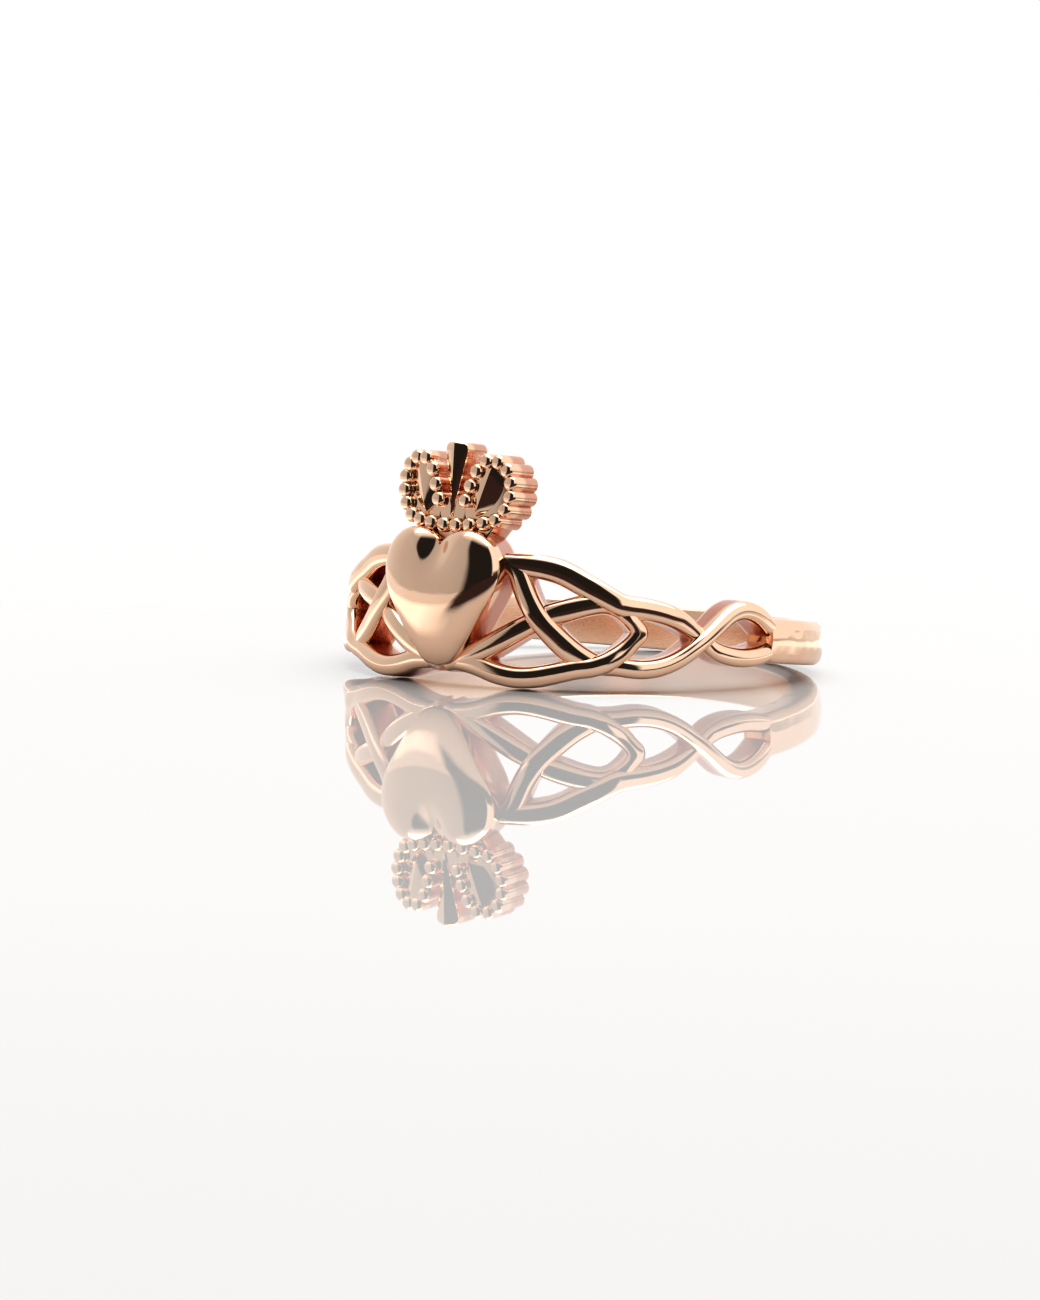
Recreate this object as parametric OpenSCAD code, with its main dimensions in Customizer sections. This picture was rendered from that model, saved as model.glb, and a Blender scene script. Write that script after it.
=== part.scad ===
// Claddagh ring: a crowned heart on a knotwork band, cast in one piece.
// The ring lies on its side as it rests on a table: the finger hole is upright, the heart faces -Y,
// the crown is up, and the band leans on the wide ends of its knots and on the back of the shank.
// Points on the band are given by the angle round the finger hole, from the middle of the heart
// towards the shoulder, and by the height above the band's middle.

/* [Finger hole] */
// Diameter of the finger hole
inner_d = 17.3; // [15:0.1:21]

/* [Plain band] */
// Width of the plain band, along the finger
band_w = 1.85; // [1.5:0.05:2.4]
// Thickness of the plain band
band_t = 1.4; // [1.2:0.02:1.8]

/* [Knot] */
// Thickness of the knot's strands, out from the finger hole
strand_t = 1.45; // [1.3:0.02:1.9]
// Width of a strand
strand_w = 0.8; // [0.65:0.05:0.95]
// How far a strand lifts where it passes over another
cross_lift = 0.12; // [0.04:0.02:0.2]
// Angle from the middle of the heart to the end of the first cell
cell1_end = 41; // [38:0.5:45]
// Angle from the middle of the heart to the end of the second cell
cell2_end = 64.8; // [60:0.5:68]
// Angle from the middle of the heart to the end of the third cell
cell3_end = 88.5; // [84:0.5:94]
// Half height of the first cell
cell1_h = 2.72; // [2.4:0.02:3]
// Half height of the second cell
cell2_h = 1.97; // [1.7:0.02:2.1]
// Half height of the third cell
cell3_h = 1.4; // [1.2:0.02:1.6]

/* [Heart] */
// Width of the heart
heart_w = 5.8; // [5:0.1:6.4]
// Height of the heart, from its tip to the top of its lobes
heart_h = 5.6; // [5:0.1:6.2]
// Height of the heart's tip above the middle of the band
heart_tip = -2.08; // [-2.3:0.02:-1.8]
// From the finger hole out to the heart's rim
heart_rim = 2.15; // [1.8:0.05:2.5]
// How far the heart's dome stands proud of its rim
heart_dome = 0.55; // [0.4:0.05:0.9]

/* [Crown] */
// Width of the crown over its beads
crown_w = 6; // [5.2:0.1:6.6]
// Height of the crown, from the underside of its beads to the top of its spike
crown_h = 3.7; // [3:0.1:4.4]
// Gap between the finger hole and the back of the crown
crown_back = 0.1; // [0.05:0.05:0.5]
// Thickness of the crown, without its beads' round fronts
crown_t = 1.35; // [0.9:0.05:1.6]
// Diameter of a bead
bead_d = 0.62; // [0.5:0.02:0.7]
// How far the heart's lobes reach into the beads above them
crown_seat = 0.14; // [0.05:0.01:0.3]
// How far the ridges of the petals and the spike stand above the crown's plates
ridge_rise = 0.36; // [0.1:0.02:0.5]

/* [Hidden] */

bore_r = inner_d / 2;
band_r = bore_r + band_t;
strand_r = bore_r + strand_t;
rim_r = bore_r + heart_rim;
crown_back_r = bore_r + crown_back;
crown_r = crown_back_r + crown_t;
bead_r = bead_d / 2;
// Every sub-part starts inside the finger hole, which then cuts it to its true surface. Each starts a
// step deeper than the one before, so that no two share a surface there.
into_hole = 0.3;
into_step = 0.05;
heart_root = bore_r - into_hole;
top_root = heart_root - into_step;
loop_root = top_root - into_step;
leaf_root = loop_root - into_step;
shank_root = leaf_root - into_step;

// Rounded front of a strand or of the plain band: share of the half width, share of the drop
FRONT = [
    [1, 1],
    [0.9, 0.42],
    [0.58, 0.06],
];
// Drop from the top of a strand or of the plain band to the foot of its rounded edge
edge_round = 0.34;
crest = FRONT[len(FRONT) - 1];

// A knot's strands. Each row has the cell, 1 to 3, the share of the way along that cell, the share
// of its half height, the share of the strand's width, and its lift as a share: 1 where the strand
// passes over, -1 where it passes under, and less than that where it sinks into the plain band.
// From the heart's lobe over the top of the first two cells, then under to the bottom of the third
TOP = [
    [1, 0.36, 0.875, 0.9, 0],
    [1, 0.46, 0.85, 1.12, 0],
    [1, 0.58, 0.832, 1.22, 0],
    [1, 0.7, 0.775, 1.26, 0],
    [1, 0.81, 0.652, 1.26, 0],
    [1, 0.9, 0.548, 1.24, 0.6],
    [2, 0, 0.59, 1.2, 1],
    [2, 0.1, 0.495, 1.2, 1],
    [2, 0.22, 0.47, 1.18, 0.5],
    [2, 0.36, 0.455, 1.16, 0],
    [2, 0.54, 0.4, 1.14, 0],
    [2, 0.67, 0.32, 1.1, 0],
    [2, 0.79, 0.205, 1.02, -0.6],
    [2, 0.9, 0.075, 0.94, -1],
    [3, 0, -0.09, 0.9, -1],
    [3, 0.1, -0.3, 0.92, -1],
    [3, 0.21, -0.46, 0.98, -0.4],
    [3, 0.38, -0.55, 1, 0],
    [3, 0.55, -0.55, 1, 0],
    [3, 0.72, -0.48, 1, 0],
    [3, 0.86, -0.37, 1, -0.6],
    [3, 0.98, -0.3, 1, -1.6],
    [3, 1.1, -0.24, 0.9, -3.2],
];
// From the heart's lobe down to the bottom of the first two cells, then over to the top of the third
LOOP = [
    [1, 0.37, 0.87, 0.85, 0],
    [1, 0.44, 0.72, 1.1, 0],
    [1, 0.47, 0.555, 1.2, 0],
    [1, 0.505, 0.375, 1.2, 0.4],
    [1, 0.55, 0.19, 1.2, 1],
    [1, 0.61, -0.005, 1.22, 0.9],
    [1, 0.695, -0.205, 1.28, 0.3],
    [1, 0.79, -0.39, 1.28, 0],
    [1, 0.89, -0.515, 1.2, -0.6],
    [1, 0.97, -0.56, 1.04, -1],
    [2, 0.12, -0.77, 0.98, -0.6],
    [2, 0.32, -0.795, 1, 0],
    [2, 0.54, -0.72, 0.98, 0],
    [2, 0.75, -0.515, 0.94, 0.3],
    [2, 0.92, -0.225, 0.88, 1],
    [3, 0.045, 0.015, 0.84, 1],
    [3, 0.17, 0.37, 0.86, 0.8],
    [3, 0.3, 0.67, 0.92, 0.2],
    [3, 0.46, 0.84, 0.96, 0],
    [3, 0.63, 0.78, 0.96, 0],
    [3, 0.76, 0.61, 0.96, 0],
    [3, 0.87, 0.42, 0.96, -0.5],
    [3, 0.98, 0.3, 1, -1.6],
    [3, 1.1, 0.24, 0.9, -3.2],
];
// The leaf that runs from the heart's tip through the first cell, round its blunt end and back
LEAF = [
    [1, 0.03, -0.715, 0.9, 0],
    [1, 0.135, -0.6, 1.1, 0],
    [1, 0.23, -0.495, 1.2, 0],
    [1, 0.335, -0.345, 1.2, 0],
    [1, 0.46, -0.14, 1.2, -0.4],
    [1, 0.53, -0.03, 1.15, -1],
    [1, 0.585, 0.055, 1.15, -1],
    [1, 0.65, 0.135, 1.18, -0.5],
    [1, 0.74, 0.215, 1.18, 0],
    [1, 0.83, 0.295, 1.15, 0],
    [1, 0.9, 0.34, 1.1, -0.4],
    [1, 0.97, 0.36, 1.04, -1],
    [1, 1.04, 0.315, 1, -0.8],
    [1, 1.1, 0.205, 0.96, 0],
    [1, 1.147, 0.08, 0.9, 0],
    [1, 1.176, -0.035, 1.1, 0],
    [1, 1.147, -0.155, 0.9, 0],
    [1, 1.1, -0.3, 1, 0],
    [1, 1.04, -0.43, 1.05, 0.7],
    [1, 0.98, -0.53, 1.05, 1],
    [1, 0.91, -0.6, 1.05, 0.4],
    [1, 0.82, -0.64, 1.08, 0],
    [1, 0.7, -0.733, 1.1, 0],
    [1, 0.58, -0.812, 1.1, 0],
    [1, 0.46, -0.838, 1.1, 0],
    [1, 0.34, -0.791, 1.1, 0],
    [1, 0.26, -0.726, 1.1, 0],
    [1, 0.17, -0.68, 1.05, 0],
    [1, 0.06, -0.68, 0.9, -0.4],
];
// Rows of the tables at which a strand's two lengths meet; the leaf's is close to its blunt end
top_turn = 10;
loop_turn = 11;
leaf_turn = 14;
// Steps between two rows of a strand's table, and of the heart's outline
strand_steps = 2;
heart_steps = 2;

// The right half of the heart's outline: share of its half width, share of its height from the tip
HEART = [
    [0, 0.89],
    [0.12, 0.943],
    [0.29, 0.984],
    [0.48, 1],
    [0.67, 0.977],
    [0.845, 0.912],
    [0.96, 0.82],
    [1, 0.705],
    [0.965, 0.6],
    [0.88, 0.5],
    [0.775, 0.41],
    [0.63, 0.285],
    [0.475, 0.166],
    [0.32, 0.07],
    [0.2, 0.022],
    [0, 0],
];
// The dome: share of the way out from its middle to the rim, share of its rise
DOME = [
    [1, -0.2],
    [0.97, 0.15],
    [0.91, 0.39],
    [0.82, 0.62],
    [0.7, 0.8],
    [0.5, 0.93],
    [0.25, 0.985],
];
// Height of the dome's middle, as a share of the heart's height from the tip
dome_mid = 0.56;
heart_mid = heart_tip + dome_mid * heart_h;
heart_top = heart_tip + heart_h;
heart_cleft = heart_tip + HEART[0][1] * heart_h;
// The valley that runs down the dome from the cleft: its depth, half its width, and its length
valley_deep = 0.5;
valley_half = 0.75;
valley_long = 1.8;
// How steeply the dome leans in towards the tip, and how far below its middle it first leans so
heart_lean = 0.185;
lean_start = 1;

// The beads of the crown's right half: share of half the crown's width to the beads' middles,
// share of the crown's height between its lowest beads' middles and the spike's top
BEADS = [
    [0.118, 0],
    [0.355, 0.015],
    [0.59, 0.045],
    [0.79, 0.09],
    [0.93, 0.225],
    [1, 0.385],
    [0.995, 0.55],
    [0.915, 0.7],
    [0.76, 0.79],
    [0.565, 0.79],
    [0.415, 0.66],
    [0.325, 0.48],
    [0.25, 0.3],
];
first_bead = BEADS[0];
last_bead = BEADS[len(BEADS) - 1];
// Rows of BEADS that stand round a petal, and those along the crown's foot
petal_rows = [1:12];
foot_rows = [0:3];
// The petal's ridged teardrop, from its tip over its belly to its round top: share of half the
// crown's width, share of its height, radius as a share of a bead's diameter, share of the ridge
PETAL = [
    [0.46, 0.15, 0.15, 0.1],
    [0.6, 0.48, 0.88, 1],
    [0.66, 0.65, 0.68, 0.9],
];
// The spike: half its width as a share of a bead's diameter, share of the crown's height at its tip
spike_half = 0.86;
spike_foot = 0.12;
// How deep the crown's plates lie below the beads' fronts, how far they reach into the heart and to
// each side there as a share of its width, the radius of their corners, and the least thickness of
// what stands on them
plate_drop = 0.2;
plate_into = 0.25;
neck_half = 0.27;
plate_corner = bead_r / 2;
thin = 0.05;
crown_foot = heart_top - crown_seat;
crown_half = crown_w / 2 - bead_r;
crown_rise = crown_h - bead_r;

// Angles round a bead's front at which its section has a corner
BEAD_ANGLES = [0, 36, 66];
// Facets round a bead, a petal's or the spike's corner, a small point of a plate, the plain band,
// and the finger hole
bead_facets = 10;
corner_facets = 12;
point_facets = 6;
band_facets = 60;
hole_facets = 96;

// The ring rests on the inner lower edges of the first cells' outer strands, which are lowest at this
// angle, and on the outer lower edge of the shank's back
low_angle = 19;
front_y = bore_r * cos(low_angle);
tilt = atan((cell1_h - band_w / 2) / (front_y + band_r - edge_round));
rest_z = (band_r - edge_round) * sin(tilt) + band_w / 2 * cos(tilt);
// How far the heart and the shank reach from the middle of the finger hole once the ring is tilted.
// The dome reaches furthest a little below its middle, where its lean makes up for the tilt. Half the
// difference puts the origin under the middle of the ring.
heart_reach = (rim_r + heart_dome) * cos(tilt) - (heart_mid - lean_start / 4) * sin(tilt);
shank_reach = (band_r - crest[1] * edge_round) * cos(tilt) + crest[0] * band_w / 2 * sin(tilt);
mid_y = (heart_reach - shank_reach) / 2;

function lerp(a, b, t) = a + (b - a) * t;
// The smooth curve through four values a, b, c, d, from b at t = 0 to c at t = 1
function through(a, b, c, d, t) =
    (2 * b + (c - a) * t + (2 * a - 5 * b + 4 * c - d) * t * t + (3 * b - a - 3 * c + d) * t * t * t) / 2;
function smooth(rows, steps) = [
    for (i = [0:len(rows) - 2], k = [0:steps - 1])
        through(rows[max(i - 1, 0)], rows[i], rows[i + 1], rows[min(i + 2, len(rows) - 1)], k / steps),
    rows[len(rows) - 1]
];

// A point at radius r, at arc length s round a cylinder of radius wrap_r, and at height h
function wrap(r, s, h, wrap_r) =
    let (a = s / wrap_r * 180 / PI)
    [r * sin(a), -r * cos(a), h];

// Section of a strand or of the plain band, from its root over its rounded front and back to its
// root: distance from its middle across it, radius
function section(half, top_r, root_r) = concat(
    [[half, root_r]],
    [for (row = FRONT) [row[0] * half, top_r - row[1] * edge_round]],
    [for (i = [len(FRONT) - 1:-1:0]) [-FRONT[i][0] * half, top_r - FRONT[i][1] * edge_round]],
    [[-half, root_r]]
);

function cell_angle(cell, share) =
    let (ends = [0, cell1_end, cell2_end, cell3_end])
    lerp(ends[cell - 1], ends[cell], share);
function cell_half(cell) = [cell1_h, cell2_h, cell3_h][cell - 1];
// One row of a strand's table as arc length, height, half width and radius of the strand's top
function strand_row(row) = [
    cell_angle(row[0], row[1]) * PI / 180 * strand_r,
    row[2] * cell_half(row[0]),
    row[3] * strand_w / 2,
    strand_r + row[4] * cross_lift
];
// The section at one point of a strand's path, with the unit direction across the strand
function strand_section(p, across, root_r) = [
    for (q = section(p[2], p[3], root_r))
        wrap(q[1], p[0] + q[0] * across[0], p[1] + q[0] * across[1], strand_r)
];

// A tube through sections of equal length, closed at both ends
module skin(sections) {
    n = len(sections[0]);
    m = len(sections);
    polyhedron(
        points = [for (s = sections, p = s) p],
        faces = concat(
            [[for (i = [0:n - 1]) i]],
            [[for (i = [n - 1:-1:0]) (m - 1) * n + i]],
            [
                for (j = [0:m - 2], i = [0:n - 1])
                    let (a = j * n + i, b = j * n + (i + 1) % n)
                    each [[a, a + n, b], [b, a + n, b + n]]
            ]
        ),
        convexity = 6
    );
}

// A strand, in two lengths that meet at one row of its table, so that neither runs into itself
module strand(table, root_r, turn_row) {
    path = smooth([for (row = table) strand_row(row)], strand_steps);
    last = len(path) - 1;
    turn = turn_row * strand_steps;
    for (part = [[0:turn], [turn:last]])
        skin([
            for (i = part)
                let (
                    along = path[min(i + 1, last)] - path[max(i - 1, 0)],
                    size = norm([along[0], along[1]])
                )
                strand_section(path[i], [-along[1] / size, along[0] / size], root_r)
        ]);
}

module top_strand() {
    strand(TOP, top_root, top_turn);
}

module loop_strand() {
    strand(LOOP, loop_root, loop_turn);
}

module leaf_strand() {
    strand(LEAF, leaf_root, leaf_turn);
}

module knot() {
    top_strand();
    loop_strand();
    leaf_strand();
}

// From the end of one knot round the back of the finger to the end of the other
module plain_shank() {
    rotate([0, 0, cell3_end - 90])
        rotate_extrude(angle = 360 - 2 * cell3_end, $fn = band_facets)
            polygon([for (q = section(band_w / 2, band_r, shank_root)) [q[1], q[0]]]);
}

function heart_outline() =
    let (
        right = smooth([for (p = HEART) [p[0] * heart_w / 2, heart_tip + p[1] * heart_h]], heart_steps),
        last = len(right) - 1
    )
    concat(right, [for (i = [last - 1:-1:1]) [-right[i][0], right[i][1]]]);

// How far the valley and the lean lower the dome at a point
function heart_drop(p) =
    let (
        into = min(max(1 + (p[1] - heart_cleft) / valley_long, 0), 1),
        below = max(heart_mid - p[1], 0)
    )
    valley_deep * exp(-pow(p[0] / valley_half, 2)) * into * into * (3 - 2 * into)
        + heart_lean * (below < lean_start ? below * below / lean_start / 2 : below - lean_start / 2);
// A point of the dome that rises by this share
function on_dome(p, rise) = wrap(rim_r + rise * heart_dome - heart_drop(p), p[0], p[1], rim_r);

// A block from inside the finger hole out to the rim, with the puffed dome on it
module heart() {
    outline = heart_outline();
    mid = [0, heart_mid];
    n = len(outline);
    top = (len(DOME) + 1) * n;
    points = concat(
        [for (p = outline) wrap(heart_root, p[0], p[1], rim_r)],
        [for (row = DOME, p = outline) on_dome(lerp(mid, p, row[0]), row[1])],
        [on_dome(mid, 1), wrap(heart_root, mid[0], mid[1], rim_r)]
    );
    polyhedron(
        points = points,
        faces = concat(
            [
                for (j = [0:len(DOME) - 1], i = [0:n - 1])
                    let (a = j * n + i, b = j * n + (i + 1) % n)
                    each [[a, b, a + n], [b, b + n, a + n]]
            ],
            [for (i = [0:n - 1]) [top - n + i, top - n + (i + 1) % n, top]],
            [for (i = [0:n - 1]) [i, top + 1, (i + 1) % n]]
        ),
        convexity = 6
    );
}

// Arc length and height of a point of the crown that is given by its shares
function crown_at(share) = [share[0] * crown_half, crown_foot + bead_r + share[1] * crown_rise];

// Places its children with their +Z facing out at an arc length and a height on the crown, this far
// in front of its surface
module at_front(p, out = 0) {
    translate(wrap(crown_r + out, p[0], p[1], crown_r))
        rotate([90, 0, 0])
            children();
}

// The point straight behind one at the crown's front, on the crown's back
function behind(front) = [front[0], -sqrt(pow(crown_back_r, 2) - pow(front[0], 2)), front[2]];

// The same at the point straight behind, at the back of the crown
module at_back(p, out = 0) {
    translate(behind(wrap(crown_r, p[0], p[1], crown_r)) - [0, out, 0])
        rotate([90, 0, 0])
            children();
}

// A bead's round front on a column that runs straight back through the crown
module bead(p) {
    front = wrap(crown_r, p[0], p[1], crown_r);
    column = norm(front - behind(front));
    round_front = [for (a = BEAD_ANGLES) [bead_r * cos(a), column + bead_r * sin(a)]];
    at_back(p)
        rotate_extrude($fn = bead_facets)
            polygon(concat([[0, 0], [bead_r, 0]], round_front, [[0, column + bead_r]]));
}

module crown_beads() {
    for (row = BEADS)
        bead(crown_at(row));
}

// A plate through the crown that fills the space between some points
module crown_plate(points) {
    hull()
        for (p = points) {
            at_front(p, -plate_drop)
                cylinder(r = plate_corner, h = thin, $fn = point_facets);
            at_back(p, thin)
                cylinder(r = plate_corner, h = thin, $fn = point_facets);
        }
}

module crown_petal() {
    crown_plate([for (i = petal_rows) crown_at(BEADS[i])]);
    hull()
        for (row = PETAL) {
            at_front(crown_at(row), -plate_drop)
                cylinder(r = row[2] * bead_d, h = thin, $fn = corner_facets);
            at_front(crown_at(row), row[3] * ridge_rise - plate_drop)
                sphere(r = thin, $fn = point_facets);
        }
}

// The plate behind the row of beads along the foot, which reaches down into the heart's cleft and
// lobes, and the one between the lowest beads of the two petals, which carries the spike
module crown_base() {
    foot = [for (i = foot_rows) crown_at(BEADS[i])];
    middle = [for (row = [first_bead, last_bead], side = [0, 1]) crown_at([side * row[0], row[1]])];
    neck = [[0, heart_cleft - plate_into], [neck_half * heart_w, heart_top - plate_into]];
    crown_plate(concat(foot, neck));
    crown_plate(middle);
}

module crown_spike() {
    half = spike_half * bead_d;
    top = crown_foot + crown_h;
    tip = crown_at([0, spike_foot]);
    hull() {
        for (side = [-1, 1]) {
            at_front([side * half / 2, top - half / 2], -plate_drop / 2)
                cylinder(r = half / 2, h = thin, $fn = corner_facets);
            at_back([side * half / 2, top - half / 2])
                cylinder(r = half / 2, h = thin, $fn = corner_facets);
        }
        at_front([0, top - half], ridge_rise / 2)
            sphere(r = thin, $fn = point_facets);
        at_front(tip)
            sphere(r = thin, $fn = point_facets);
        at_back(tip)
            cylinder(r = 2 * thin, h = thin, $fn = point_facets);
    }
}

module both_sides() {
    children();
    mirror([1, 0, 0])
        children();
}

module casting() {
    plain_shank();
    both_sides() {
        knot();
        crown_beads();
        crown_petal();
        crown_base();
    }
    heart();
    crown_spike();
}

module finger_hole() {
    reach = crown_h + heart_h;
    translate([0, 0, -reach])
        cylinder(r = bore_r, h = 2 * reach, $fn = hole_facets);
}

module ring() {
    color("#c98d76")
        translate([0, mid_y, rest_z])
            rotate([-tilt, 0, 0])
                difference() {
                    casting();
                    finger_hole();
                }
}

ring();
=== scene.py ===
# %% [markdown]
# # A claddagh ring in polished rose gold
# This file dresses a claddagh ring: two shoulders of pierced knotwork carry a crowned heart, and a
# plain band closes the circle behind the finger. The real ring is one lost-wax casting. The model
# is made as a wax carver makes the wax: the band, the knot's wires, the heart and the crown's
# parts are shaped one by one as straight or flat blanks, bent round the finger, and pressed
# together.
#
# The ring lies on its side on a glossy table. The imported solid is loaded first as a fixed frame.

# %% Load the frame
import bisect
import math

import bmesh
import bpy
from mathutils import Matrix, Vector


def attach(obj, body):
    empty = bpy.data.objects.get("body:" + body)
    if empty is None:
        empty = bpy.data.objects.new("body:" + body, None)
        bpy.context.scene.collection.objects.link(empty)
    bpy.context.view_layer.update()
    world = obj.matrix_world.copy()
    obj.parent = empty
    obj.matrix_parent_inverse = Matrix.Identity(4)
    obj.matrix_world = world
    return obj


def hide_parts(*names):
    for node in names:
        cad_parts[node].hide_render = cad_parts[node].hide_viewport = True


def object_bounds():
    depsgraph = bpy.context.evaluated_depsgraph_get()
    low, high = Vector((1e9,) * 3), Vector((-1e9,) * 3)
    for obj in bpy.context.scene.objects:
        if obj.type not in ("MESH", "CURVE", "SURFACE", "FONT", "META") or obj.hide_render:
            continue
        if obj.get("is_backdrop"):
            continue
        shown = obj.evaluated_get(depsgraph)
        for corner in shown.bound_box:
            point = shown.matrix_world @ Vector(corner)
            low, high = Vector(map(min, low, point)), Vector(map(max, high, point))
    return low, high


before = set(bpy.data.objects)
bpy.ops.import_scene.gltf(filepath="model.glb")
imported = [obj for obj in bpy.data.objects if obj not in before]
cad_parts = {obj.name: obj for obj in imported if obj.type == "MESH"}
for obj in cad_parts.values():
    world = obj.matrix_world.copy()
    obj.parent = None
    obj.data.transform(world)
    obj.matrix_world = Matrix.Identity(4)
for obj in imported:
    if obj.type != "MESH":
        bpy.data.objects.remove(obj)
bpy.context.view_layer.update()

# %% [markdown]
# ## The ring's own sizes
# They are the sizes of the solid, in millimetres, so that each dressed piece lands on the form
# that it stands for. The ring is modelled upright round the Z axis with the heart towards -Y. The
# last step of every piece leans it back as the ring leans on the table, and takes it from
# millimetres to metres.

# %% Sizes of the finger hole, the band and the knot
BORE_R = 17.3 / 2
BAND_W, BAND_T = 1.85, 1.4
STRAND_T, STRAND_W = 1.45, 0.8
CROSS_LIFT = 0.12
CELL_ENDS = [0, 41, 64.8, 88.5]
CELL_HALVES = [2.72, 1.97, 1.4]
EDGE_ROUND = 0.34
BAND_R = BORE_R + BAND_T
STRAND_R = BORE_R + STRAND_T
print("out to the band", BAND_R, "mm and to the knot", STRAND_R, "mm")

# %% Sizes of the heart and the crown
HEART_W, HEART_H, HEART_TIP = 5.8, 5.6, -2.08
HEART_RIM_R = BORE_R + 2.15
HEART_DOME = 0.55
HEART_MID = HEART_TIP + 0.56 * HEART_H
# How steeply the dome leans in towards the tip, and how far below its middle it first leans so
HEART_LEAN, LEAN_START = 0.185, 1
CROWN_W, CROWN_H = 6, 3.7
CROWN_BACK_R = BORE_R + 0.1
CROWN_R = CROWN_BACK_R + 1.35
BEAD_D = 0.62
CROWN_FOOT = HEART_TIP + HEART_H - 0.14
PLATE_DROP = 0.08
RIDGE_RISE = 0.36
print("the crown's foot is", round(CROWN_FOOT, 2), "mm above the band's middle")

# %% How the ring lies on the table
# It rests on the first cells, which are lowest 19 degrees from the heart, and on the back of the
# band.
LOW_ANGLE = math.radians(19)
TILT = math.atan(
    (CELL_HALVES[0] - BAND_W / 2) / (BORE_R * math.cos(LOW_ANGLE) + BAND_R - EDGE_ROUND)
)
REST_Z = (BAND_R - EDGE_ROUND) * math.sin(TILT) + BAND_W / 2 * math.cos(TILT)
# The heart reaches furthest forwards just below its middle, and the band furthest back where its
# rounded edge starts, at this share of its half width and this drop
EDGE_AT, EDGE_DROP = 0.58, 0.06 * EDGE_ROUND
HEART_REACH = (HEART_RIM_R + HEART_DOME) * math.cos(TILT)
HEART_REACH -= (HEART_MID - LEAN_START / 4) * math.sin(TILT)
SHANK_REACH = (BAND_R - EDGE_DROP) * math.cos(TILT) + EDGE_AT * BAND_W / 2 * math.sin(TILT)
CENTRE = Vector((0, (HEART_REACH - SHANK_REACH) / 2, REST_Z))
MM = 0.001
PLACE = (
    Matrix.Translation(CENTRE * MM) @ Matrix.Rotation(-TILT, 4, "X") @ Matrix.Scale(MM, 4)
)
print("the ring leans back", round(math.degrees(TILT), 2), "degrees")

# %% [markdown]
# ## Handling a piece
# An operator acts on whatever is selected, so a few small helpers keep one piece selected at a
# time, choose its faces or edges by where they are, and move its points by a rule. The rule is
# what bends a straight blank into its curve, as fingers and a mandrel do with wax.

# %% Helpers to select and shape
def only(piece):
    """Leaves this piece alone selected, in object mode."""
    if bpy.context.mode != "OBJECT":
        bpy.ops.object.mode_set(mode="OBJECT")
    bpy.ops.object.select_all(action="DESELECT")
    piece.select_set(True)
    bpy.context.view_layer.objects.active = piece


def named(name):
    """The primitive that was just added, under its name."""
    piece = bpy.context.active_object
    piece.name = piece.data.name = name
    only(piece)
    return piece


def choose(piece, kind, test):
    """Goes to edit mode with only the verts, edges or faces selected that pass the test."""
    only(piece)
    bpy.ops.object.mode_set(mode="EDIT")
    bpy.ops.mesh.select_mode(type={"verts": "VERT", "edges": "EDGE", "faces": "FACE"}[kind])
    bpy.ops.mesh.select_all(action="DESELECT")
    mesh = bmesh.from_edit_mesh(piece.data)
    for part in getattr(mesh, kind):
        part.select = bool(test(part))
    mesh.select_flush_mode()
    bmesh.update_edit_mesh(piece.data)


def lay(piece, rule):
    """Moves every point of the piece to where the rule says."""
    only(piece)
    for point in piece.data.vertices:
        point.co = rule(point.co.copy())
    piece.data.update()


# %% Curves and bending
def through(a, b, c, d, t):
    """The smooth curve through four values, from b at t = 0 to c at t = 1."""
    return (
        2 * b + (c - a) * t + (2 * a - 5 * b + 4 * c - d) * t * t
        + (3 * b - a - 3 * c + d) * t**3
    ) / 2


def smooth(rows, steps):
    """A smooth curve through rows of numbers, with this many steps from row to row."""
    curve, last = [], len(rows) - 1
    for i in range(last):
        four = [rows[max(i - 1, 0)], rows[i], rows[i + 1], rows[min(i + 2, last)]]
        for k in range(steps):
            curve.append([through(*values, k / steps) for values in zip(*four)])
    return curve + [list(rows[last])]


def eased(curve, passes):
    """The curve with its small wobbles taken out; its two ends stay."""
    for _ in range(passes):
        inner = [
            [(a + 2 * b + c) / 4 for a, b, c in zip(*three)]
            for three in zip(curve, curve[1:], curve[2:])
        ]
        curve = [curve[0]] + inner + [curve[-1]]
    return curve


def wrap(r, s, h, wrap_r):
    """The point at radius r, at arc length s round a cylinder of radius wrap_r, and at height h."""
    return Vector((r * math.sin(s / wrap_r), -r * math.cos(s / wrap_r), h))


def ease(low, high, value):
    """0 below low, 1 above high, and a smooth slope between them."""
    t = min(max((value - low) / (high - low), 0), 1)
    return t * t * (3 - 2 * t)


print("a quarter of the way along, the slope has risen", ease(0, 1, 0.25))

# %% [markdown]
# ## Polished rose gold
# 14 karat rose gold is more than half gold, with about a third of copper, which makes it pink. A
# cast ring is tumbled and then buffed with rouge on a soft wheel, which leaves a mirror with two
# faults that the eye reads as metal: a slow ripple, because the wheel bites unevenly, and fine
# hairlines. The wheel doesn't reach down into the pierced cells, so their walls keep the rough
# grain of the casting. Their colour is also painted darker and redder there, as painted shade in
# the recesses. The patterns are made from object coordinates in millimetres, turned so that they
# lie along the ring.

# %% Colour and node helpers
def linear(hex_value):
    """An sRGB hex value as the linear colour that the shader needs."""
    parts = [int(hex_value[i : i + 2], 16) / 255 for i in (1, 3, 5)]
    return [c / 12.92 if c <= 0.04045 else ((c + 0.055) / 1.055) ** 2.4 for c in parts] + [1]


def add(tree, kind, inputs=(), **settings):
    """Adds one node. Inputs give the value or the source of each input, by its name or number."""
    node = tree.nodes.new(kind)
    for name, value in settings.items():
        setattr(node, name, value)
    for key, value in dict(inputs).items():
        if isinstance(value, bpy.types.NodeSocket):
            tree.links.new(value, node.inputs[key])
        else:
            node.inputs[key].default_value = value
    return node


print("a mid grey, #808080, is", round(linear("#808080")[0], 3), "of white in linear light")

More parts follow.
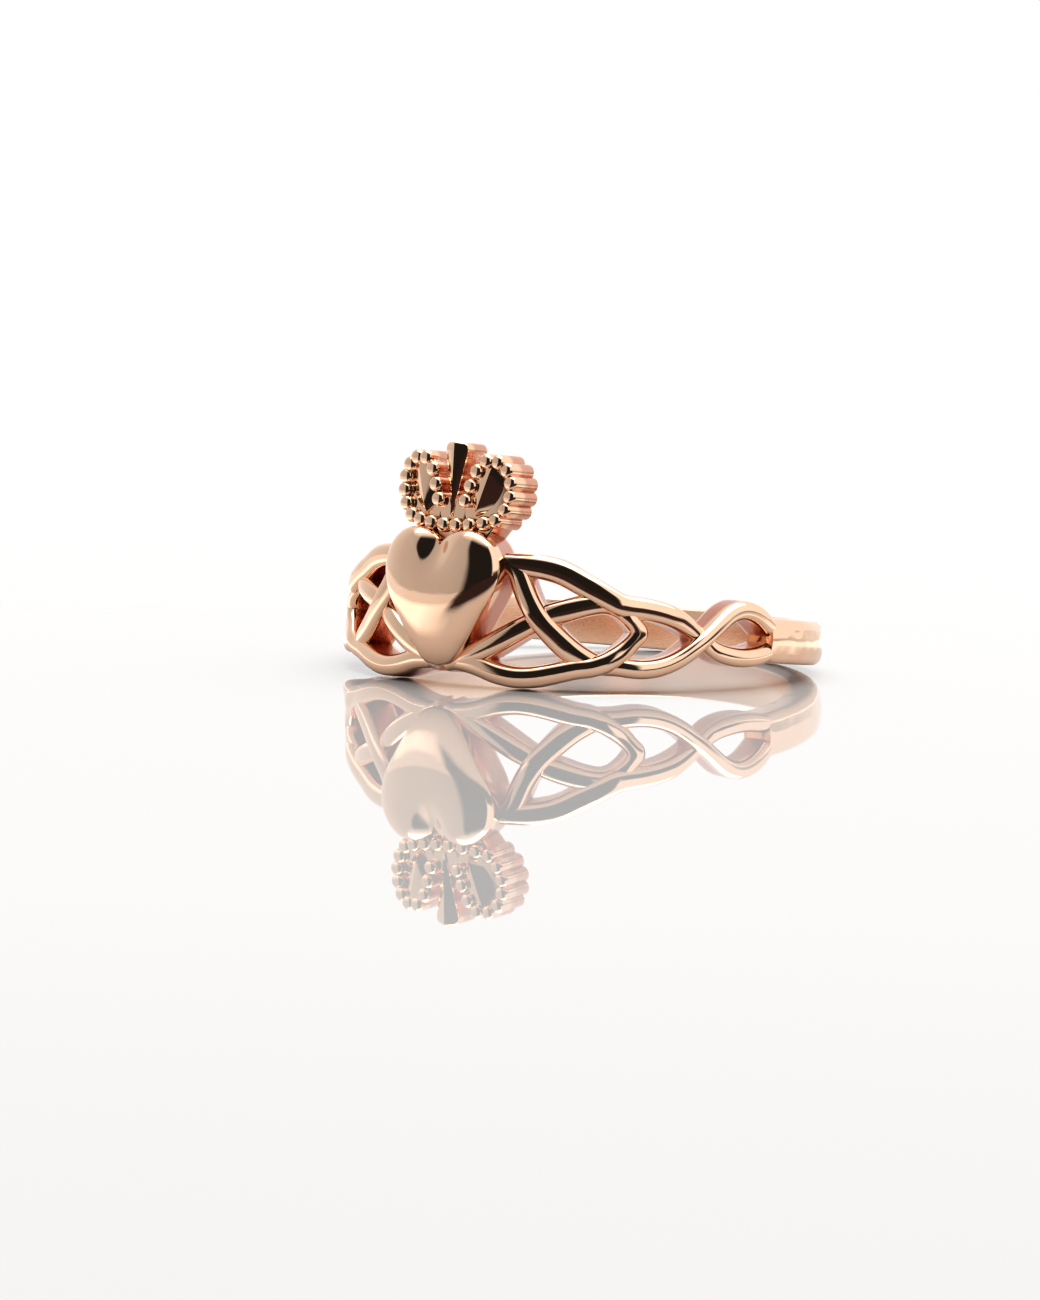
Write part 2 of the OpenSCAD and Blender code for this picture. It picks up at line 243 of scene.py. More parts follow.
# %% The rose gold materials
def rose_gold(name, ripple, grain_and_shade, reach=STRAND_R - 0.28):
    """Rose gold, buffed. The ripple's depth is in millimetres; the grain share, from 0 to 1, is how
    rough the walls are left and how much their colour is painted darker as shade; and reach is the
    radius down to which the wheel comes from outside."""
    gold = bpy.data.materials.new(name)
    gold.use_nodes = True
    tree = gold.node_tree
    tree.nodes.clear()
    place = add(tree, "ShaderNodeTexCoord").outputs["Object"]
    # Millimetres in the ring's own frame: the lean and the rest place are taken out again
    move = Matrix.Rotation(TILT, 3, "X") @ (-CENTRE)
    mm = add(
        tree, "ShaderNodeMapping",
        {"Vector": place, "Location": move, "Rotation": (TILT, 0, 0), "Scale": (1000,) * 3},
    ).outputs[0]
    flat = add(tree, "ShaderNodeVectorMath", {0: mm, 1: (1, 1, 0)}, operation="MULTIPLY")
    out = add(
        tree, "ShaderNodeVectorMath", {0: flat.outputs[0]}, operation="LENGTH"
    ).outputs["Value"]
    # The pierced walls lie between the finger hole, which is buffed too, and the knot's fronts
    above = add(
        tree, "ShaderNodeMapRange", {0: out, 1: BORE_R + 0.04, 2: BORE_R + 0.25},
        interpolation_type="SMOOTHSTEP",
    ).outputs[0]
    below = add(
        tree, "ShaderNodeMapRange", {0: out, 1: reach, 2: reach - 0.32},
        interpolation_type="SMOOTHSTEP",
    ).outputs[0]
    wall = add(tree, "ShaderNodeMath", {0: above, 1: below}, operation="MULTIPLY").outputs[0]
    wall = add(tree, "ShaderNodeMath", {0: wall, 1: grain_and_shade}, operation="MULTIPLY").outputs[0]
    # Hairlines are 0.01 mm apart, too fine to show, so they are drawn 0.07 mm apart
    lines = add(
        tree, "ShaderNodeTexNoise",
        {"Vector": add(tree, "ShaderNodeMapping", {"Vector": mm, "Scale": (1, 1, 9)}).outputs[0],
         "Scale": 1.6, "Detail": 3.0, "Roughness": 0.6},
    ).outputs["Fac"]
    slow = add(
        tree, "ShaderNodeTexNoise", {"Vector": mm, "Scale": 0.9, "Detail": 1.0}
    ).outputs["Fac"]
    # The investment's grit is 0.1 mm
    grit = add(
        tree, "ShaderNodeTexNoise", {"Vector": mm, "Scale": 9.0, "Detail": 2.0}
    ).outputs["Fac"]
    tone = add(
        tree, "ShaderNodeMix",
        {"Factor": slow, "A": linear("#F8D2B4"), "B": linear("#F1C3A2")}, data_type="RGBA",
    ).outputs["Result"]
    # Painted shade: by the grain share, the walls' colour is darkened and reddened as shade in the
    # recesses; their roughness and grit bump are the real cast grain
    tone = add(
        tree, "ShaderNodeMix",
        {"Factor": wall, "A": tone, "B": linear("#C07A62")}, data_type="RGBA",
    ).outputs["Result"]
    # A mirror polish is 0.035 to 0.085 rough along its hairlines, and the walls are 0.16 rougher
    rough = add(
        tree, "ShaderNodeMapRange", {0: lines, 1: 0.35, 2: 0.7, 3: 0.035, 4: 0.085}
    ).outputs[0]
    rough = add(
        tree, "ShaderNodeMath", {0: wall, 1: 0.16, 2: rough}, operation="MULTIPLY_ADD"
    ).outputs[0]
    # A felt cone polishes the finger hole, which leaves it softer than the outside
    inside = add(tree, "ShaderNodeMapRange", {0: above, 3: 0.2, 4: 0.0}).outputs[0]
    rough = add(tree, "ShaderNodeMath", {0: rough, 1: inside}, operation="ADD").outputs[0]
    bump = add(
        tree, "ShaderNodeBump", {"Strength": above, "Distance": ripple * MM, "Height": slow}
    ).outputs[0]
    bump = add(
        tree, "ShaderNodeBump",
        {"Strength": 1.0, "Distance": 0.0007 * MM, "Height": lines, "Normal": bump},
    ).outputs[0]
    bump = add(
        tree, "ShaderNodeBump",
        {"Strength": wall, "Distance": 0.02 * MM, "Height": grit, "Normal": bump},
    ).outputs[0]
    metal = add(
        tree, "ShaderNodeBsdfPrincipled",
        {"Base Color": tone, "Metallic": 1.0, "Roughness": rough, "Normal": bump},
    )
    add(tree, "ShaderNodeOutputMaterial", {"Surface": metal.outputs[0]})
    return gold


# All but the band get painted shade on their walls, by their grain share
BUFFED = rose_gold("rose gold, buffed", ripple=0.012, grain_and_shade=0.7)
BUFFED_HEART = rose_gold(
    "rose gold, buffed dome", ripple=0.006, grain_and_shade=0.9, reach=HEART_RIM_R - 0.45
)
BUFFED_BAND = rose_gold("rose gold, hand-buffed band", ripple=0.05, grain_and_shade=0.0)
PIERCED = rose_gold("rose gold, buffed over cast walls, with painted shade", ripple=0.008, grain_and_shade=1.0)
print("made", [m.name for m in (BUFFED, BUFFED_HEART, BUFFED_BAND, PIERCED)])

# %% [markdown]
# ## Finishing a piece
# Every piece ends in the same way: points that fell together are merged, the normals are turned
# outwards, the surface is smoothed except at real corners, and the piece is leaned and placed in
# its mesh. It then rides on the ring's one body and stands for the one solid. The wires, the
# beads, the plates, the petals and the spike are a little fuller than the solid's, because a
# polished surface is rounder than facets.

# %% Finish and place
def finish(piece, gold, corner=38, together=0.002):
    """Cleans, smooths, places and registers a piece. Faces that meet above the corner angle, in
    degrees, stay sharp, and points nearer together than this many mm become one."""
    only(piece)
    bpy.ops.object.mode_set(mode="EDIT")
    bpy.ops.mesh.select_all(action="SELECT")
    bpy.ops.mesh.remove_doubles(threshold=together)
    bpy.ops.mesh.normals_make_consistent(inside=False)
    bpy.ops.object.mode_set(mode="OBJECT")
    bpy.ops.object.shade_smooth_by_angle(angle=math.radians(corner))
    piece.data.transform(PLACE)
    piece.data.materials.clear()
    piece.data.materials.append(gold)
    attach(piece, "root")
    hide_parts("ring")
    print(piece.name, "has", len(piece.data.polygons), "faces")


def both_sides(piece):
    """Adds the left half's copy of a right half piece."""
    only(piece)
    mirror = piece.modifiers.new("left", "MIRROR")
    mirror.use_axis = (True, False, False)
    mirror.use_mirror_merge = False
    bpy.ops.object.modifier_apply(modifier=mirror.name)


# %% [markdown]
# ## The plain band
# Behind the finger the ring is a plain D-section band: flat against the finger, softly rounded
# outside. A jeweller would roll it as half-round wire and bend it round a mandrel. The model does
# the same with a spin: one section is drawn and swept round the finger from the end of one knot to
# the end of the other.

# %% The section of the band and of the knot's wires
ROUND_STEPS = 8


def section_half(flat, crown):
    """Half of a D section, from the middle of its front to the middle of its root: share of the
    half width, share of the way from root to front, and the drop below that in millimetres. Its
    front is flat over the share that flat gives, and by there it has dropped by crown."""
    front = [(0, 1, 0), (flat / 2, 1, crown * 0.2)]
    for k in range(ROUND_STEPS + 1):
        a = math.radians(90 * k / ROUND_STEPS)
        front.append((flat + (1 - flat) * math.sin(a), 1, crown + EDGE_ROUND * (1 - math.cos(a))))
    wall = [(1, 0.5, 0), (1, 0, -0.1)]
    root = [(0.985, 0, -0.05), (0.94, 0, -0.012), (0.86, 0, 0), (0, 0, 0)]
    return front + wall + root


def whole_section(half_section):
    """Both halves of a section, round from the middle of its front; the second half is mirrored."""
    return half_section + [(-a, up, drop) for a, up, drop in half_section[-2:0:-1]]


BAND_SECTION = whole_section(section_half(0.42, 0.05))
print("the band's section has", len(BAND_SECTION), "points")

# %% Spin the band
# The band starts, in degrees from the heart, a little inside the last cell, where the wires run
# out on it
BAND_START = CELL_ENDS[3] - 3
BAND_STEPS = 120
bpy.ops.mesh.primitive_circle_add(vertices=len(BAND_SECTION), fill_type="NGON")
band = named("plain_band")


def turn_share(co, count):
    """Which of so many equal steps round the Z axis a point is at."""
    return round(math.atan2(co.y, co.x) / math.tau * count) % count


def band_section(co):
    """Where a point of the flat blank lies on the band's section."""
    a, up, drop = BAND_SECTION[turn_share(co, len(BAND_SECTION))]
    r = BORE_R + up * (BAND_R - BORE_R) - drop
    start = math.radians(BAND_START)
    return Vector((r * math.sin(start), -r * math.cos(start), a * BAND_W / 2))


lay(band, band_section)
choose(band, "faces", lambda face: True)
bpy.ops.mesh.spin(
    steps=BAND_STEPS, angle=math.radians(360 - 2 * BAND_START), center=(0, 0, 0), axis=(0, 0, -1)
)
finish(band, BUFFED_BAND)

# %% [markdown]
# ## The knot's wires
# Each shoulder is woven of three wires that cross over and under, which makes three pierced cells.
# Each wire is made as a straight half-round bar, cut across many times, and then bent: a table
# gives, along the wire, the cell, the share of the way along it, the share of its half height, the
# share of the wire's width, and how much the wire lifts (1) or dips (-1) where it passes another.

# %% Tables of the three wires
TOP = [
    [1, 0.36, 0.875, 0.9, 0], [1, 0.46, 0.85, 1.12, 0], [1, 0.58, 0.832, 1.22, 0],
    [1, 0.7, 0.775, 1.26, 0], [1, 0.81, 0.652, 1.26, 0], [1, 0.9, 0.548, 1.24, 0.6],
    [2, 0, 0.59, 1.2, 1], [2, 0.1, 0.495, 1.2, 1], [2, 0.22, 0.47, 1.18, 0.5],
    [2, 0.36, 0.455, 1.16, 0], [2, 0.54, 0.4, 1.14, 0], [2, 0.67, 0.32, 1.1, 0],
    [2, 0.79, 0.205, 1.02, -0.6], [2, 0.9, 0.075, 0.94, -1], [3, 0, -0.09, 0.9, -1],
    [3, 0.1, -0.3, 0.92, -1], [3, 0.21, -0.46, 0.98, -0.4], [3, 0.38, -0.55, 1, 0],
    [3, 0.55, -0.55, 1, 0], [3, 0.72, -0.48, 1, 0], [3, 0.86, -0.37, 1, -0.6],
    [3, 0.98, -0.3, 1, -1.6], [3, 1.1, -0.24, 0.9, -3.2],
]
LOOP = [
    [1, 0.37, 0.87, 0.85, 0], [1, 0.44, 0.72, 1.1, 0], [1, 0.47, 0.555, 1.2, 0],
    [1, 0.505, 0.375, 1.2, 0.4], [1, 0.55, 0.19, 1.2, 1], [1, 0.61, -0.005, 1.22, 0.9],
    [1, 0.695, -0.205, 1.28, 0.3], [1, 0.79, -0.39, 1.28, 0], [1, 0.89, -0.515, 1.2, -0.6],
    [1, 0.97, -0.56, 1.04, -1], [2, 0.12, -0.77, 0.98, -0.6], [2, 0.32, -0.795, 1, 0],
    [2, 0.54, -0.72, 0.98, 0], [2, 0.75, -0.515, 0.94, 0.3], [2, 0.92, -0.225, 0.88, 1],
    [3, 0.045, 0.015, 0.84, 1], [3, 0.17, 0.37, 0.86, 0.8], [3, 0.3, 0.67, 0.92, 0.2],
    [3, 0.46, 0.84, 0.96, 0], [3, 0.63, 0.78, 0.96, 0], [3, 0.76, 0.61, 0.96, 0],
    [3, 0.87, 0.42, 0.96, -0.5], [3, 0.98, 0.3, 1, -1.6], [3, 1.1, 0.24, 0.9, -3.2],
]
LEAF = [
    [1, 0.03, -0.715, 0.9, 0], [1, 0.135, -0.6, 1.1, 0], [1, 0.23, -0.495, 1.2, 0],
    [1, 0.335, -0.345, 1.2, 0], [1, 0.46, -0.14, 1.2, -0.4], [1, 0.53, -0.03, 1.15, -1],
    [1, 0.585, 0.055, 1.15, -1], [1, 0.65, 0.135, 1.18, -0.5], [1, 0.74, 0.215, 1.18, 0],
    [1, 0.83, 0.295, 1.15, 0], [1, 0.9, 0.34, 1.1, -0.4], [1, 0.97, 0.36, 1.04, -1],
    [1, 1.04, 0.315, 1, -0.8], [1, 1.1, 0.205, 0.96, 0], [1, 1.147, 0.08, 0.9, 0],
    [1, 1.176, -0.035, 1.1, 0], [1, 1.147, -0.155, 0.9, 0], [1, 1.1, -0.3, 1, 0],
    [1, 1.04, -0.43, 1.05, 0.7], [1, 0.98, -0.53, 1.05, 1], [1, 0.91, -0.6, 1.05, 0.4],
    [1, 0.82, -0.64, 1.08, 0], [1, 0.7, -0.733, 1.1, 0], [1, 0.58, -0.812, 1.1, 0],
    [1, 0.46, -0.838, 1.1, 0], [1, 0.34, -0.791, 1.1, 0], [1, 0.26, -0.726, 1.1, 0],
    [1, 0.17, -0.68, 1.05, 0], [1, 0.06, -0.68, 0.9, -0.4],
]
print("rows:", len(TOP), len(LOOP), len(LEAF))

# %% Bend a wire
WIRE_SECTION = whole_section(section_half(0.24, 0.01))
# A long bar is cut in several goes, each with at most this many cuts
MOST_CUTS = 60


def wire_row(row):
    """A table's row as arc length, height, half width and the radius of the wire's front."""
    cell, along, up, width, lift = row
    angle = CELL_ENDS[cell - 1] + along * (CELL_ENDS[cell] - CELL_ENDS[cell - 1])
    return [
        math.radians(angle) * STRAND_R, up * CELL_HALVES[cell - 1],
        width * STRAND_W / 2, STRAND_R + lift * CROSS_LIFT,
    ]


def wire(name, table, root_r, steps=5, passes=4):
    """A half-round bar bent along a table's rows. Its flat back is root_r from the finger hole's
    middle, a little different for each wire, so that no two backs coincide."""
    path = eased(smooth([wire_row(row) for row in table], steps), passes)
    count = len(WIRE_SECTION)
    bpy.ops.mesh.primitive_cylinder_add(vertices=count, radius=1, depth=1)
    bar = named(name)
    cuts = len(path) - 2
    while cuts > 0:
        choose(bar, "edges", lambda edge: abs(edge.verts[0].co.z - edge.verts[1].co.z) > 1e-6
               and max(vert.co.z for vert in edge.verts) > 0.49999)
        bpy.ops.mesh.subdivide(number_cuts=min(cuts, MOST_CUTS))
        cuts -= MOST_CUTS
    only(bar)
    levels = sorted(point.co.z for point in bar.data.vertices)[::count]

    def bend(co):
        i = bisect.bisect_right(levels, co.z) - 1
        s, h, half, top = path[i]
        before, after = path[max(i - 1, 0)], path[min(i + 1, len(path) - 1)]
        along = Vector((after[0] - before[0], after[1] - before[1])).normalized()
        a, up, drop = WIRE_SECTION[turn_share(co, count)]
        r = root_r + up * (top - root_r) - drop
        return wrap(r, s - a * half * along.y, h + a * half * along.x, STRAND_R)

    lay(bar, bend)
    both_sides(bar)
    finish(bar, PIERCED)


wire("knot_top_wires", TOP, BORE_R + 0.004)
wire("knot_loop_wires", LOOP, BORE_R + 0.008)
wire("knot_leaf_wires", LEAF, BORE_R + 0.012)
print("wires are", STRAND_W, "mm wide")

# %% [markdown]
# ## The heart
# The heart is a puffed dome on a block that reaches back to the finger. Its contours follow the
# outline at the rim and grow rounder towards the top. A soft valley runs down from the cleft
# between the lobes, and the lower half leans back towards the tip. A carver would file it from a
# block. Here a sphere's upper half gives rings of points to push into heart-shaped contours; its
# rim is extruded back to make the side wall, and closed against the finger.

# %% The heart's outline and dome
# The right half, from the cleft round the lobe to the tip, as shares of half the width and of the
# height
HEART = [
    [0, 0.89], [0.12, 0.943], [0.29, 0.984], [0.48, 1], [0.67, 0.977], [0.845, 0.912],
    [0.96, 0.82], [1, 0.705], [0.965, 0.6], [0.88, 0.5], [0.775, 0.41], [0.63, 0.285],
    [0.475, 0.166], [0.32, 0.07], [0.2, 0.022], [0, 0],
]
# Share of the way out to the rim, and share of the dome's height there
DOME = [
    [0, 1], [0.25, 0.985], [0.5, 0.93], [0.7, 0.8], [0.82, 0.62], [0.91, 0.39],
    [0.97, 0.15], [0.994, -0.03], [1, -0.2],
]
half_outline = smooth([[x * HEART_W / 2, HEART_TIP + h * HEART_H] for x, h in HEART], 4)
outline = half_outline + [[-x, h] for x, h in half_outline[-2:0:-1]]


def eased_loop(loop, passes):
    """A closed curve with its corners taken out."""
    for _ in range(passes):
        loop = [
            [(a + 2 * b + c) / 4 for a, b, c in zip(*three)]
            for three in zip(loop[-1:] + loop[:-1], loop, loop[1:] + loop[:1])
        ]
    return loop


round_outline = eased_loop(outline, 90)
dome_curve = smooth(DOME, 12)


def dome_rise(share):
    """How high the dome stands at this share of the way out to its rim."""
    for (a, low), (b, high) in zip(dome_curve, dome_curve[1:]):
        if share <= b:
            return low + (high - low) * (share - a) / (b - a)
    return DOME[-1][1]


print("the heart's outline has", len(outline), "points")

# %% Shape the heart
# The radii of the side wall's rows, from the rim back to the finger hole
WALL_RS = [HEART_RIM_R - 0.9, HEART_RIM_R - 1.4, BORE_R + 0.016]
# The valley that runs down the dome from the cleft: its depth, half its width, and its length
VALLEY_DEEP, VALLEY_HALF, VALLEY_LONG = 0.5, 0.75, 1.8
# The cleft's height, and how far out each lobe is highest
CLEFT, LOBE = HEART_TIP + 0.89 * HEART_H, 0.48 * HEART_W / 2
bpy.ops.mesh.primitive_uv_sphere_add(segments=len(outline), ring_count=64, radius=1)
heart = named("heart")
choose(heart, "faces", lambda face: face.calc_center_median().z < 0)
bpy.ops.mesh.delete(type="FACE")
choose(heart, "edges", lambda edge: edge.is_boundary)
for _ in WALL_RS:
    bpy.ops.mesh.extrude_region_move(TRANSFORM_OT_translate={"value": (0, 0, -1)})
# The back is drawn in step by step, so that its faces stay short and follow the finger hole
for inward in (0.75, 0.66, 0.5):
    bpy.ops.mesh.extrude_region_move(TRANSFORM_OT_translate={"value": (0, 0, 0)})
    bpy.ops.transform.resize(value=(inward, inward, 1), center_override=(0, 0, -len(WALL_RS)))
bpy.ops.mesh.edge_face_add()
bpy.ops.mesh.poke()


def heart_drop(s, h):
    """How far the valley and the lean lower the dome at a point."""
    valley = VALLEY_DEEP * math.exp(-((s / VALLEY_HALF) ** 2)) * ease(CLEFT - VALLEY_LONG, CLEFT, h)
    below = max(HEART_MID - h, 0)
    if below < LEAN_START:
        return valley + HEART_LEAN * below**2 / LEAN_START / 2
    return valley + HEART_LEAN * (below - LEAN_START / 2)


def heart_rule(co):
    """Where a point of the half sphere lies on the heart."""
    share = min(math.hypot(co.x, co.y), 1)
    i = turn_share(co, len(outline))
    # Round contours near the top, and from 0.97 of the way out the outline itself
    sharp = ease(0.3, 0.97, share)
    s, h = (a + (b - a) * sharp for a, b in zip(round_outline[i], outline[i]))
    # Between the lobes the dome goes on as if the cleft were filled, so that the valley alone
    # shapes it
    between = h > CLEFT and abs(s) < LOBE
    filled = (h - HEART_MID) / (HEART_TIP + HEART_H - HEART_MID) if between else 1
    s, h = share * s, HEART_MID + share * (h - HEART_MID)
    row = round(-co.z) if co.z < -0.5 else 0
    if row:
        r = WALL_RS[row - 1]
    else:
        r = HEART_RIM_R + HEART_DOME * dome_rise(share * filled) - heart_drop(s, h)
    return wrap(r, s, h, HEART_RIM_R)


lay(heart, heart_rule)
finish(heart, BUFFED_HEART, corner=55)

# %% [markdown]
# ## The crown's beads
# A milled border of beads runs round each petal of the crown and along its foot. From the front
# they are small balls; from the side each runs straight back through the crown as a rounded
# column. One bead is made, from half a sphere whose rim is drawn out into the column, and then it
# is copied to each place.

# %% Where things are on the crown
# The right half's beads, as shares across and up, from the foot's middle round the petal
BEADS = [
    [0.118, 0], [0.355, 0.015], [0.59, 0.045], [0.79, 0.09], [0.93, 0.225], [1, 0.385],
    [0.995, 0.55], [0.915, 0.7], [0.76, 0.79], [0.565, 0.79], [0.415, 0.66], [0.325, 0.48],
    [0.25, 0.3],
]
BEAD_R = BEAD_D / 2


def crown_at(across, up):
    """Arc length and height of a point of the crown that is given by its shares."""
    return across * (CROWN_W / 2 - BEAD_R), CROWN_FOOT + BEAD_R + up * (CROWN_H - BEAD_R)


def front(s, h, out=0):
    """A point this far in front of the crown's front."""
    return wrap(CROWN_R + out, s, h, CROWN_R)


def behind(point):
    """The point straight behind another, on the crown's back."""
    return Vector((point.x, -math.sqrt(CROWN_BACK_R**2 - point.x**2), point.z))


print("the crown's top is", round(CROWN_FOOT + CROWN_H, 2), "mm above the band's middle")

# %% Make one bead and copy it
# Tumbling wears the beads' fronts flat. Each is made a little full, so that it touches the next.
BEAD_FRONT, BEAD_FLAT, BEAD_FULL = 0.25, 2.5, 1.04
bpy.ops.mesh.primitive_uv_sphere_add(segments=28, ring_count=16, radius=BEAD_R)
pattern = named("bead_pattern")
choose(pattern, "faces", lambda face: face.calc_center_median().z < 0)
bpy.ops.mesh.delete(type="FACE")
choose(pattern, "edges", lambda edge: edge.is_boundary)
bpy.ops.mesh.extrude_region_move(TRANSFORM_OT_translate={"value": (0, 0, -1)})
bpy.ops.mesh.edge_face_add()
for number, (across, up) in enumerate(BEADS, 1):
    for side, word in ((1, "right"), (-1, "left")):
        only(pattern)
        bpy.ops.object.duplicate()
        bead = named(f"crown_bead_{word}_{number:02d}")
        s, h = crown_at(across, up)
        middle = front(side * s, h)
        back = behind(middle)

        def bead_rule(co):
            """Where a point of the pattern lies on this bead."""
            flat = BEAD_FRONT * (1 - min(co.xy.length / BEAD_R, 1) ** BEAD_FLAT) ** (1 / BEAD_FLAT)
            y = back.y if co.z < -0.5 else middle.y - flat
            return Vector((middle.x + BEAD_FULL * co.x, y, middle.z + BEAD_FULL * co.y))

        lay(bead, bead_rule)
        finish(bead, BUFFED, corner=50)
only(pattern)
bpy.ops.object.delete()

# %% [markdown]
# ## The crown's plates
# Thin plates fill the crown behind its beads: one in each petal, one along the foot that reaches
# down into the heart's cleft as the crown's neck, and one in the middle that carries the spike.
# Each starts as a round tablet whose rim is pushed to the plate's outline and whose edge is
# rounded.

# %% Cut the plates
def plate(name, points, grow=0.15):
    """A plate through the crown. Its outline runs round these points, this many mm outside them."""
    count = len(points)
    mid_s, mid_h = (sum(values) / count for values in zip(*points))
    bpy.ops.mesh.primitive_cylinder_add(vertices=count, radius=1, depth=2, end_fill_type="TRIFAN")
    tablet = named(name)
    choose(tablet, "edges", lambda edge: all(vert.co.z > 0.9 for vert in edge.verts)
           and all(vert.co.xy.length > 0.5 for vert in edge.verts))
    bpy.ops.mesh.bevel(offset=0.05, segments=3, affect="EDGES")

    def plate_rule(co):
        share = co.xy.length
        s, h = points[turn_share(co, count)]
        away = Vector((s - mid_s, h - mid_h))
        away = away * share * (1 + grow / away.length)
        face = front(mid_s + away.x, mid_h + away.y, -PLATE_DROP)
        return face.lerp(behind(face), (1 - co.z) / 2)

    lay(tablet, plate_rule)
    return tablet


def closed_curve(points, steps):
    """A smooth closed curve through points."""
    rows = [list(point) for point in points]
    return smooth(rows[-2:] + rows + rows[:3], steps)[2 * steps : -2 * steps - 1]


petal_plate = plate("crown_petal_plates", closed_curve([crown_at(*row) for row in BEADS[1:]], 4))
both_sides(petal_plate)
finish(petal_plate, BUFFED)


def stepped_outline(corners, steps):
    """A polygon's outline, each side cut into equal steps."""
    rows = [list(point) for point in corners]
    return [
        [a + (b - a) * k / steps for a, b in zip(p, q)]
        for p, q in zip(rows, rows[1:] + rows[:1]) for k in range(steps)
    ]


foot = [crown_at(*row) for row in BEADS[:4]]
neck = [(0.27 * HEART_W, HEART_TIP + HEART_H - 0.25), (0.0, HEART_TIP + 0.89 * HEART_H - 0.25)]
corners = [(-s, h) for s, h in foot[::-1]] + foot + neck + [(-neck[0][0], neck[0][1])]
finish(plate("crown_foot_and_neck", stepped_outline(corners, 4)), BUFFED)
lowest, inmost = crown_at(*BEADS[0]), crown_at(*BEADS[-1])
corners = [(-lowest[0], lowest[1]), lowest, inmost, (-inmost[0], inmost[1])]
finish(plate("crown_middle_plate", stepped_outline(corners, 4)), BUFFED)

# %% [markdown]
# ## The petals and the spike
# Inside each beaded loop stands a ridged teardrop, and between the loops a ridged spike widens to
# a rounded top. They are filed to two facets that meet in a ridge, so one side mirrors the light
# while the other stays dark. Each starts as a flat grid, extruded once to a thin slab; its front
# points are then pushed out to the facets, with rounded edges.

# %% A ridged slab
def slab(name, across, along, rule):
    """A grid extruded into a slab. The rule gets the share across (-1 to 1) and along (0 to 1),
    both closer together near the edges, and whether the point is on the front."""
    bpy.ops.mesh.primitive_grid_add(x_subdivisions=across, y_subdivisions=along, size=2)
    blank = named(name)
    choose(blank, "faces", lambda face: True)
    bpy.ops.mesh.extrude_region_move(TRANSFORM_OT_translate={"value": (0, 0, 1)})
    lay(blank, lambda co: rule(
        math.sin(math.pi / 2 * co.x), (1 + math.sin(math.pi / 2 * co.y)) / 2, co.z > 0.5
    ))
    return blank


def rounded(distance, radius):
    """How far a rounded edge drops at this distance in from it."""
    inner = max(radius - max(distance, 0), 0)
    return radius - math.sqrt(max(radius**2 - inner**2, 0))


print("0.02 mm in, a 0.06 mm rounding is", round(rounded(0.02, 0.06), 3), "mm down")

# %% The petals' teardrops
PETAL_FOOT, PETAL_TOP = crown_at(0.452, 0.125), crown_at(0.693, 0.76)
PETAL_HALF = 0.7
# The teardrop's curve is 0.861 at its widest, and is divided by that
FULLEST = 0.861
petal_axis = Vector(PETAL_TOP) - Vector(PETAL_FOOT)
petal_side = Vector((petal_axis.y, -petal_axis.x)).normalized()


def petal_rule(x, y, on_front):
    """Where a point of the slab lies on the right teardrop."""
    turn = math.acos(max(-1, min(1, 1 - 2 * y)))
    width = PETAL_HALF * math.sin(turn) * math.sqrt(math.sin(turn / 2)) / FULLEST
    place = Vector(PETAL_FOOT) + petal_axis * y + petal_side * x * width
    ridge = 0.75 * RIDGE_RISE * min(1, 1.3 * math.sin(turn)) ** 0.4
    out = ridge * (1 - abs(x) ** 1.15) - PLATE_DROP
    return front(place.x, place.y, out if on_front else -PLATE_DROP - 0.12)


petals = slab("crown_petals", 24, 40, petal_rule)
both_sides(petals)
finish(petals, BUFFED, corner=30)

# %% The spike
SPIKE_HALF = 0.93 * BEAD_D
SPIKE_TOP = CROWN_FOOT + CROWN_H
# Half its width at the foot, and how its edges are rounded
SPIKE_POINT, SPIKE_ROUND = 0.05, 0.06
SPIKE_FOOT = crown_at(0, 0.12)[1] - SPIKE_POINT


def spike_rule(x, y, on_front):
    """Where a point of the slab lies on the spike."""
    corner = SPIKE_HALF / 2
    h = SPIKE_FOOT + (SPIKE_TOP - SPIKE_FOOT) * y
    widened = (h - SPIKE_FOOT) / (SPIKE_TOP - corner - SPIKE_FOOT)
    width = min(SPIKE_POINT + (SPIKE_HALF - SPIKE_POINT) * widened, SPIKE_HALF)
    width = max(width - rounded(SPIKE_TOP - h, corner), 0.001)
    # The ridge rises towards the top, and the edges lie just behind the crown's front
    ridge, edge = 0.05 + 0.13 * y, -0.05
    nearest_edge = min((1 - abs(x)) * width, SPIKE_TOP - h)
    out = ridge + (edge - ridge) * abs(x) - rounded(nearest_edge, SPIKE_ROUND)
    face = front(x * width, h, out)
    return face if on_front else behind(face)


finish(slab("crown_spike", 24, 40, spike_rule), BUFFED, corner=30)

# %% [markdown]
# ## The table and the light
# The photographer's table is a sheet of glossy white acrylic, which gives the ring a faded
# reflection. Round it hangs a white tent with a bright top. The camera looks in through the tent's
# dark opening, and the polished metal mirrors that opening as its black bands. The world's light
# depends on its direction only, so it stands in for the tent without cutting off any view.

# %% The tent's wall by direction
# Azimuths are in degrees, from the heart's front towards the ring's right. The opening is nearly
# black.
OPEN_FROM, OPEN_TO, BLACK = -4, 56, 0.015
# How bright the wall is, by azimuth
WALL = [
    (-180, 1.12), (-130, 1.1), (-100, 0.85), (-60, 0.62), (-20, 0.55), (-10, 0.5),
    (OPEN_FROM, BLACK), (OPEN_TO, BLACK), (62, 1.25), (120, 1.2), (180, 1.12),
]
# The dark seam between table and tent, which shows on the right side only
SEAM = [(-180, 0), (58, 0), (64, 1), (105, 1), (120, 0), (180, 0)]
# How bright the ring mirrors the sheet far away, in the tent's shade, and near by, in the light
FAR_SHEET = [
    (-180, 0.7), (-60, 0.6), (-10, 0.5), (OPEN_FROM, BLACK), (OPEN_TO, BLACK), (62, 0.12),
    (100, 0.2), (180, 0.6),
]
